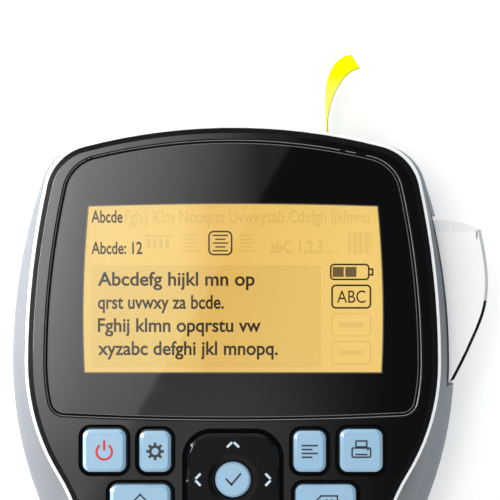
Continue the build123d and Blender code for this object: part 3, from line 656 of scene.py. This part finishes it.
letters_frame = Ink(on_screen(KEY_COLUMN, 24.0))
letters_frame.frame(0, 0, 10.4, 6.3, 0.45, 1.2)
show(letters_frame, "lcd_letters_frame", ink_dark)
screen_text("lcd_letters", "ABC", KEY_COLUMN, 25.6, 3.2, 7.4, bold=0.0, align="CENTER")

ghosts = Ink(on_screen(0.0, 0.0))
for v in (31.3, 38.6):
    ghosts.frame(KEY_COLUMN, -v, 10.4, 6.2, 0.4, 1.2)
    ghosts.rect(KEY_COLUMN, -v, 6.2, 1.2)
for x in (17.0, 18.6, 20.2, 21.8):
    ghosts.rect(x, -10.2, 0.9, 2.6)
ghosts.rect(19.4, -8.2, 7.4, 0.4)
for x in (28.0, 42.6):
    ghosts.bars(x, -8.1, (4.4, 3.0, 4.4, 3.0, 4.4), 0.36)
stripe = 68.8
for w, gap in ((0.5, 0.3), (0.25, 0.35), (0.7, 0.3), (0.3, 0.3), (0.5, 0.4), (0.25, 0.3), (0.6, 0.35), (0.4, 0.3)):
    ghosts.rect(stripe + w / 2, -10.1, w, 5.6)
    stripe += w + gap
show(ghosts, "lcd_ghost_icons", ink_ghost)


# ---------------------------------------------------------------- key legends, in millimetres


KEY_TOP = KEY_FACE / MM
OK_KEY_SUNK = 0.2  # the OK key's face below the others'
SUNK_IN_FACE = 0.01  # how far a symbol's underside lies in its key
LETTER_HEIGHT = 3.6
FINE, LINE = 0.4, 0.42  # widths of the symbols' lines

legend_dark = plastic("legend_dark", [0.02, 0.022, 0.03], 0.35).material
legend_red = plastic("legend_red", linear((206, 30, 30)), 0.35).material
legend_white = plastic("legend_white", linear((196, 214, 224)), 0.35).material


def middle_of(node):
    low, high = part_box(node)
    return (low[0] + high[0]) / 2 / MM, (low[1] + high[1]) / 2 / MM


def mark(node, z=KEY_TOP, raise_by=0.0):
    """An Ink centred on a key, and what finishes it."""
    x, y = middle_of(node)
    ink = Ink((x, y + raise_by))

    def done(material, name=f"legend_{node}"):
        ink.make(name, z - SUNK_IN_FACE, material, node, "keys" if node != "nav_pad" else "nav_pad")

    return ink, done


for letter in "abcdefghijklmnopqrstuvwxyz":
    node = f"key_{letter}"
    x, y = middle_of(node)
    lettering(f"legend_{node}", letter.upper(), (x, y - LETTER_HEIGHT / 2), LETTER_HEIGHT, KEY_TOP, legend_dark,
              node, align="CENTER", bold=0.012)

power, done = mark("key_power", raise_by=-0.3)
power.arc(0, 0, 1.7, 2.3, 125, 415, 28)
power.rect(0, 1.7, 0.6, 2.6)
done(legend_red)

gear, done = mark("key_settings")
gear.arc(0, 0, 0.9, 1.6)
for i in range(8):
    a = 2 * pi * i / 8
    gear.line((1.5 * cos(a), 1.5 * sin(a)), (2.3 * cos(a), 2.3 * sin(a)), 0.7)
done(legend_dark)

text_lines, done = mark("key_format")
text_lines.bars(0, 1.5, (4.2, 2.8, 4.2, 2.8), LINE, flush_left=True)
done(legend_dark)

printer, done = mark("key_print")
printer.frame(0, -0.5, 5.2, 2.8, LINE, 0.5)
printer.frame(0, 1.75, 3.2, 1.9, FINE, 0.15)
printer.rect(0, -1.0, 3.2, LINE)
printer.disc(1.7, 0.25, 0.25)
done(legend_dark)

caps, done = mark("key_caps")
caps.path([(0.0, 2.1), (-2.1, -0.1), (-1.0, -0.1), (-1.0, -2.0),
           (1.0, -2.0), (1.0, -0.1), (2.1, -0.1), (0.0, 2.1)], LINE)
done(legend_dark)

erase, done = mark("key_backspace")
erase.path([(-3.0, 0.0), (-1.2, 1.7), (3.0, 1.7), (3.0, -1.7), (-1.2, -1.7), (-3.0, 0.0)], FINE)
for side in (1, -1):
    erase.line((0.1, 0.8 * side), (1.7, -0.8 * side), FINE)
done(legend_dark)

space, done = mark("key_space")
space.path([(-4.0, 0.7), (-4.0, -0.8), (4.0, -0.8), (4.0, 0.7)], LINE)
done(legend_dark)

tick, done = mark("key_ok", KEY_TOP - OK_KEY_SUNK)
tick.path([(-1.7, 0.1), (-0.4, -1.3), (1.9, 1.4)], 0.5)
done(legend_dark)

ARROW = ((-1.35, 8.6), (0.0, 9.9), (1.35, 8.6))
arrows, done = mark("nav_pad")
for k in range(4):
    a = pi / 2 * k
    arrows.path([(x * cos(a) - y * sin(a), x * sin(a) + y * cos(a)) for x, y in ARROW], 0.6)
done(legend_white, "legend_nav_arrows")


# ---------------------------------------------------------------- the painted highlight line in the groove round the lens


def groove_highlight():
    """A thin grey step-shaped ring in the groove round the lens: a painted highlight that shows as a fine light line.
    """
    inner, outer = 0.50 * MM, 0.70 * MM  # from the lens's edge
    inner_drop, outer_rise, thick = -0.12 * MM, 0.09 * MM, 0.05 * MM  # against the lens's face
    section = ((inner, inner_drop), (outer, outer_rise), (outer, outer_rise - thick), (inner, inner_drop - thick))
    lens = nodes["display_lens"]
    points = [lens.matrix_world @ v.co for v in lens.data.vertices]
    cx, cy = (LENS_LOW[0] + LENS_HIGH[0]) / 2, (LENS_LOW[1] + LENS_HIGH[1]) / 2
    loop = sorted({(round(p.x, 6), round(p.y, 6)) for p in points if p.z < LENS_LOW[2] + 0.01 * MM},
                  key=lambda p: atan2(p[1] - cy, p[0] - cx))
    verts, faces, n = [], [], len(loop)
    for i, (x, y) in enumerate(loop):
        before, after = loop[i - 1], loop[(i + 1) % n]
        along = Vector((after[0] - before[0], after[1] - before[1])).normalized()
        verts += [(x + along.y * out, y - along.x * out, LENS_HIGH[2] + rise) for out, rise in section]
    for i in range(n):
        a, b = 4 * i, 4 * ((i + 1) % n)
        faces += [(a + k, b + k, b + (k + 1) % 4, a + (k + 1) % 4) for k in range(4)]
    mesh = bpy.data.meshes.new("groove_highlight")
    mesh.from_pydata(verts, [], faces)
    mesh.update()
    mesh.materials.append(plastic("groove_painted_highlight", GROOVE_HIGHLIGHT, 0.25).material)
    piece = add_object("groove_highlight", mesh)
    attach(piece, "case")


groove_highlight()


# ---------------------------------------------------------------- stage, light and camera, in metres


def floor():
    half, drop = 3.0, 0.1 * MM
    mesh = bpy.data.meshes.new("floor")
    mesh.from_pydata([(-half, -half, 0), (half, -half, 0), (half, half, 0), (-half, half, 0)], [], [(0, 1, 2, 3)])
    t = plastic("floor_paper", [0.90, 0.90, 0.90], 0.9, specular=0.1, mottle=0.004)
    t.set("Emission Color", rgba(WHITE))
    t.set("Emission Strength", 0.32)
    mesh.materials.append(t.material)
    piece = add_object("floor", mesh)
    piece.location.z = -drop


def world():
    """Even studio white from all sides, cooler and darker on the right, and black straight above."""
    studio = bpy.data.worlds.new("studio")
    scene.world = studio
    g = Graph(studio, output="Generated")
    x, y, z = g.axes()
    overhead = g.fade(z, 0.90, 0.97, 1.34, 0.0)
    right = g.fade(x, 0.20, 0.75, 1.0, 0.16)
    # a glow just in front of straight above, left of the middle, which the lower part of the cover mirrors
    glow = g.times(g.fade(y, -0.05, 0.0, 0.9, 0.0), g.fade(x, -0.01, 0.045, 1.0, 0.0), g.fade(z, 0.97, 0.99, 0.0, 1.0))
    background = g.nodes["Background"]
    g.put(background.inputs["Color"], g.mix(g.fade(x, 0.2, 0.8, 0.0, 1.0), rgba(WHITE), rgba(COOL_LIGHT)))
    g.put(background.inputs["Strength"], g.plus(g.times(overhead, right), glow))


def add_lamp(name, width, length, watts, place, turn):
    data = bpy.data.lights.new(name, "AREA")
    data.shape = "RECTANGLE"
    data.size, data.size_y = width, length
    data.energy = watts
    lamp = add_object(name, data)
    lamp.location = place
    lamp.rotation_euler = turn
    return data


def softbox():
    """Large lamp above and to the left; its straight edge is what crosses the lens."""
    height, width, length = 0.995, 0.26, 0.66
    edge_near, edge_far = Vector((-0.0553, -0.0153)), Vector((0.0275, 0.1306))
    along = (edge_far - edge_near).normalized()
    left = Vector((-along.y, along.x))
    centre = (edge_near + edge_far) / 2 + left * width / 2
    data = add_lamp("softbox", width, length, 1.0, (centre.x, centre.y, height), (0.0, 0.0, atan2(left.y, left.x)))
    g = Graph(data, "ShaderNodeNewGeometry", "Position")
    x, y, _ = g.axes()
    # brightest in a band on the left, and brighter towards the head
    across = g.plus(g.spread(x, -0.085, 0.01, 2.0, 0.15), g.spread(x, -0.115, -0.085, 1.6, 0.0))
    upward = g.plus(g.spread(y, -0.045, 0.045, 0.22, 0.83), g.spread(y, 0.045, 0.13, 0.0, 0.4))
    g.put(g.nodes["Emission"].inputs["Strength"], g.times(across, upward))


def side_strip():
    """Long low lamp on the left, level with the body, aimed at its left flank."""
    add_lamp("side_strip", 0.05, 0.36, 4.4, (-0.42, 0.22, 0.03), (0.0, -pi / 2, 0.0))


def camera():
    """Straight above the head, square to the display."""
    look_x, look_y, plane = 4.4 * MM, 71.3 * MM, 46.0 * MM
    distance, span, sensor = 0.85, 129.5 * MM, 36.0  # span is the width seen at the plane
    data = bpy.data.cameras.new("camera")
    data.sensor_width = sensor
    data.lens = sensor * distance / span
    data.clip_end = 20.0
    rig = add_object("camera", data)
    rig.location = (look_x, look_y, plane + distance)
    scene.camera = rig


floor()
world()
softbox()
side_strip()
camera()
scene.view_settings.view_transform = "Standard"
scene.view_settings.look = "None"
